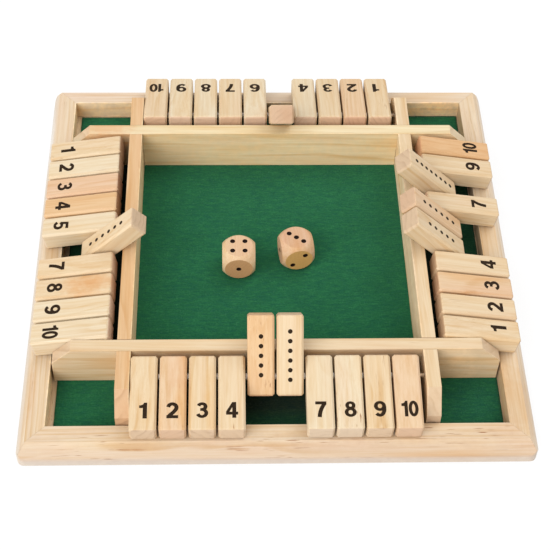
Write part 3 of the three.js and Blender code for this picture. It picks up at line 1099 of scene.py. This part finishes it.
# Tiles whose figure stands out: cut, ring spacing, figure, clouds and dashes. The others draw theirs from the
# choices and ranges below.
TILE_FIGURES = {
    "front_tile_1": ("flat", 3.2, 1.1, 0.3, 0.2), "front_tile_2": ("flat", 4.0, 0.7, 1.0, 0.3),
    "front_tile_3": ("quarter", 4.4, 1.0, 0.7, 0.2), "front_tile_4": ("rift", 3.6, 0.5, 0.3, 1.0),
    "front_tile_7": ("rift", 3.4, 0.4, 0.3, 0.1), "front_tile_8": ("flat", 3.8, 0.25, 0.5, 1.0),
    "front_tile_9": ("quarter", 1.7, 1.1, 0.3, 0.6), "front_tile_10": ("flat", 4.2, 0.5, 0.3, 0.1),
    "left_tile_4": ("quarter", 1.6, 0.9, 0.3, 0.2), "left_tile_8": ("flat", 5.0, 0.5, 0.3, 0.2),
    "left_tile_9": ("quarter", 1.5, 0.7, 0.2, 0.2), "left_tile_10": ("quarter", 1.5, 0.9, 0.2, 0.2),
    "right_tile_3": ("rift", 3.0, 1.0, 0.8, 0.2), "right_tile_10": ("flat", 3.6, 0.4, 0.2, 0.1),
}
DRAWN_CUTS = ("flat", "rift", "quarter")
DRAWN_RANGES = ((2.2, 4.0), (0.3, 0.9), (0.2, 0.6), (0.0, 0.6))
BOARD_GRAIN = {"front": RIGHTWARD, "right": BACKWARD, "back": RIGHTWARD, "left": BACKWARD}
RAIL_WOOD = {"cut": "board", "spacing": 2.4, "figure": 1.0, "clouds": 0.6, "wander": 5.0}
DIVIDER_WOOD = {"cut": "quarter", "spacing": 5.0, "figure": 0.9, "clouds": 0.5, "dashes": 0.2}
PANEL_WOOD = {"cut": "flat", "spacing": 5.0}


def dress_tile_wood(side, number, tone, draw):
    node = f"{side}_tile_{number}"
    _, right, up, _ = tile_frame(node)
    drawn = (draw.choice(DRAWN_CUTS), *(draw.uniform(*span) for span in DRAWN_RANGES))
    figure = TILE_FIGURES.get(node, drawn)
    # the first tiles of the left and right banks take a browner end, partly painted shade
    brown = side in BROWN_SHADED_END_PINE and number <= BROWN_SHADED_END_TILES
    inner_end = BROWN_SHADED_END_PINE[side] if brown else INNER_END_PINE
    paint_node(node, wood(node, up, right, tone, draw, *figure, far_end=inner_end))
    ease_edges(nodes[node], TILE_EDGE, segments=3)


def dress_woodwork():
    draw = random.Random(TIMBER_SEED)
    for side in SIDES:
        along = BOARD_GRAIN[side]
        rail, divider = f"{side}_rail", f"{side}_divider"
        tone, dashes, foot = RAIL_LOOKS[side]
        timber = wood(rail, along, along.cross(UP), TONES[tone], draw, **RAIL_WOOD, dashes=dashes, foot=foot)
        paint_node(rail, timber)
        timber = wood(divider, along, UP, TONES[DIVIDER_TONES[side]], draw, **DIVIDER_WOOD)
        paint_node(divider, timber)
        ease_edges(nodes[divider], DIVIDER_EDGE)
        for number, tone in enumerate(TILE_TONES[side].split(), 1):
            dress_tile_wood(side, number, TONES[tone], draw)
    panel = "base_panel"
    paint_node(panel, wood(panel, BACKWARD, RIGHTWARD, TONES["straw"], draw, **PANEL_WOOD))
    ease_edges(nodes[panel], PANEL_EDGE)


# Stage, lights and camera

def seen_directly(tree):
    """One for rays from the camera and for mirrored and glassy ones, zero for the rest."""
    rays = add_node(tree, "ShaderNodeLightPath").outputs
    seen = math_node(tree, "ADD", rays["Is Camera Ray"], rays["Is Glossy Ray"])
    return math_node(tree, "ADD", seen, rays["Is Transmission Ray"], clamp=True)


def make_stage():
    bpy.ops.mesh.primitive_plane_add(size=FLOOR_SIZE)
    floor = bpy.context.object
    floor.name = "floor"
    material = bpy.data.materials.new("floor")
    material.use_nodes = True
    tree = material.node_tree
    tree.nodes.clear()
    diffuse = add_node(tree, "ShaderNodeBsdfDiffuse", {"Color": FLOOR_TONE})
    white = add_node(tree, "ShaderNodeEmission", {"Color": WHITE, "Strength": FLOOR_GLOW})
    share = times(tree, seen_directly(tree), FLOOR_GLOW_SHARE)
    mix = add_node(tree, "ShaderNodeMixShader", {0: share, 1: diffuse.outputs[0], 2: white.outputs[0]})
    add_node(tree, "ShaderNodeOutputMaterial", {"Surface": mix.outputs[0]})
    floor.data.materials.append(material)


def make_world():
    """An even light from all sides, which the camera sees as white."""
    world = bpy.data.worlds.new("studio")
    bpy.context.scene.world = world
    world.use_nodes = True
    tree = world.node_tree
    tree.nodes.clear()
    ambient = add_node(tree, "ShaderNodeBackground", {"Color": WHITE, "Strength": WORLD_LIGHT})
    white = add_node(tree, "ShaderNodeBackground", {"Color": WHITE, "Strength": 1.0})
    share = seen_directly(tree)
    mix = add_node(tree, "ShaderNodeMixShader", {0: share, 1: ambient.outputs[0], 2: white.outputs[0]})
    add_node(tree, "ShaderNodeOutputWorld", {"Surface": mix.outputs[0]})


def make_lamp(name, place, size, power):
    """A square soft box that looks at the middle of the board."""
    lamp = bpy.data.lights.new(name, "AREA")
    lamp.size = size
    lamp.energy = power
    made = bpy.data.objects.new(name, lamp)
    bpy.context.scene.collection.objects.link(made)
    made.location = place
    made.rotation_euler = (-Vector(place)).to_track_quat("-Z", "Y").to_euler()


def make_camera():
    """A level camera, pitched, yawed and then rolled about its own line of sight."""
    forward = Vector((
        math.sin(CAMERA_YAW) * math.cos(CAMERA_PITCH),
        math.cos(CAMERA_YAW) * math.cos(CAMERA_PITCH),
        math.sin(CAMERA_PITCH),
    ))
    level = Vector((math.cos(CAMERA_YAW), -math.sin(CAMERA_YAW), 0))
    down = forward.cross(level)
    right = level * math.cos(CAMERA_ROLL) + down * math.sin(CAMERA_ROLL)
    up = level * math.sin(CAMERA_ROLL) - down * math.cos(CAMERA_ROLL)
    data = bpy.data.cameras.new("camera")
    data.sensor_width = SENSOR_WIDTH
    data.lens = FOCAL_PIXELS / FRAME_PIXELS * data.sensor_width
    camera = bpy.data.objects.new("camera", data)
    bpy.context.scene.collection.objects.link(camera)
    camera.matrix_world = placed(CAMERA_PLACE, right, up, -forward)
    bpy.context.scene.camera = camera


dress_woodwork()
ink = ink_material("number_ink")
steel = steel_material()
plastic = sleeve_material()
for side in SIDES:
    for number in range(1, TILES_PER_SIDE + 1):
        dress_tile(side, number, ink)
    dress_rod(side, steel)
    add_sleeves(side, plastic)
beech_draw = random.Random(BEECH_SEED)
pip_paint = ink_material("pip_paint")
for die in DICE_FACES:
    dress_die(die, beech_draw, pip_paint)
lay_felt(stained("felt_mat", felt_material()))

make_stage()
make_world()
for name, (place, size, power) in LAMPS.items():
    make_lamp(name, place, size, power)
make_camera()
bpy.context.scene.view_settings.view_transform = "Standard"
